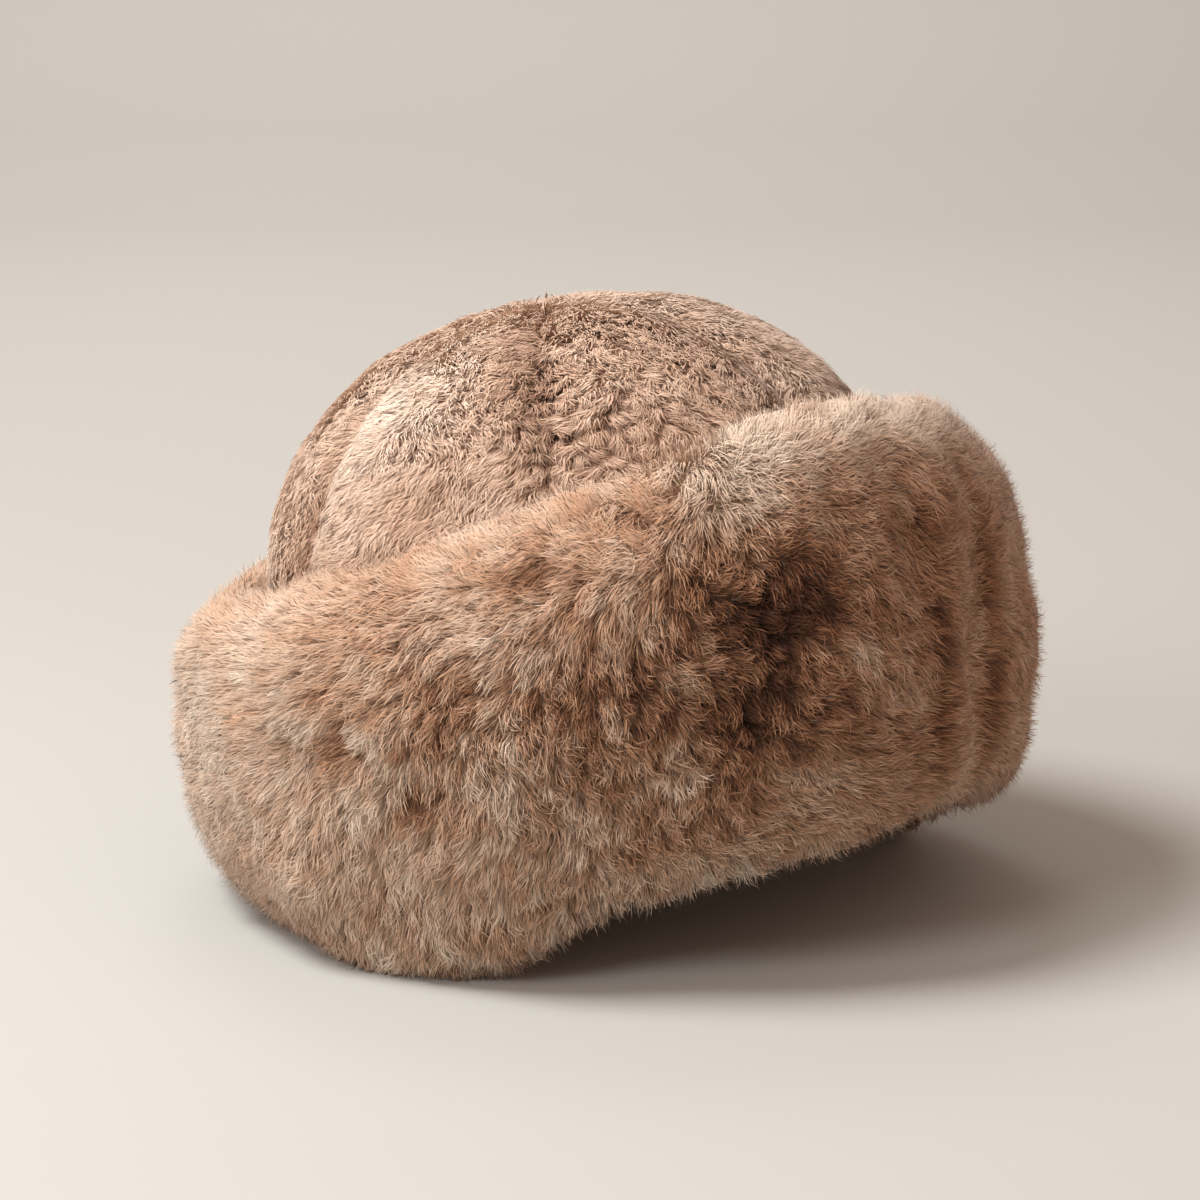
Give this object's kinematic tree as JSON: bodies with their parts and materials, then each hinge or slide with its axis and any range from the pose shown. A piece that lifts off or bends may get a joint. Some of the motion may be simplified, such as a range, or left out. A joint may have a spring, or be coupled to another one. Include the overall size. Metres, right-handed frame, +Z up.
{
  "type": "fur hat",
  "caption": "Shearling fur hat with a sewn domed crown of short fleece and a deep turned-up cuff of long soft fur, lying at rest on one side of its cuff.",
  "frame": {"origin": "under the middle of the hat's box, on the surface that the hat lies on", "axes": "+Z up from the surface, +X towards the hat's right as it lies, where the cuff is lifted, +Y towards its back"},
  "size_m": [0.309, 0.2758, 0.2152],
  "materials": {
    "crown_fleece": "short sheared curly fleece, warm beige",
    "cuff_fur": "long soft fur, camel brown with darker roots",
    "skin_suede": "plain napped suede"
  },
  "bodies": {
    "root": {"crown_gore_1": "crown_fleece", "crown_gore_2": "crown_fleece", "crown_gore_3": "crown_fleece", "crown_gore_4": "crown_fleece", "crown_gore_5": "crown_fleece", "crown_gore_6": "crown_fleece", "fur_cuff": "cuff_fur"}
  },
  "joints": []
}
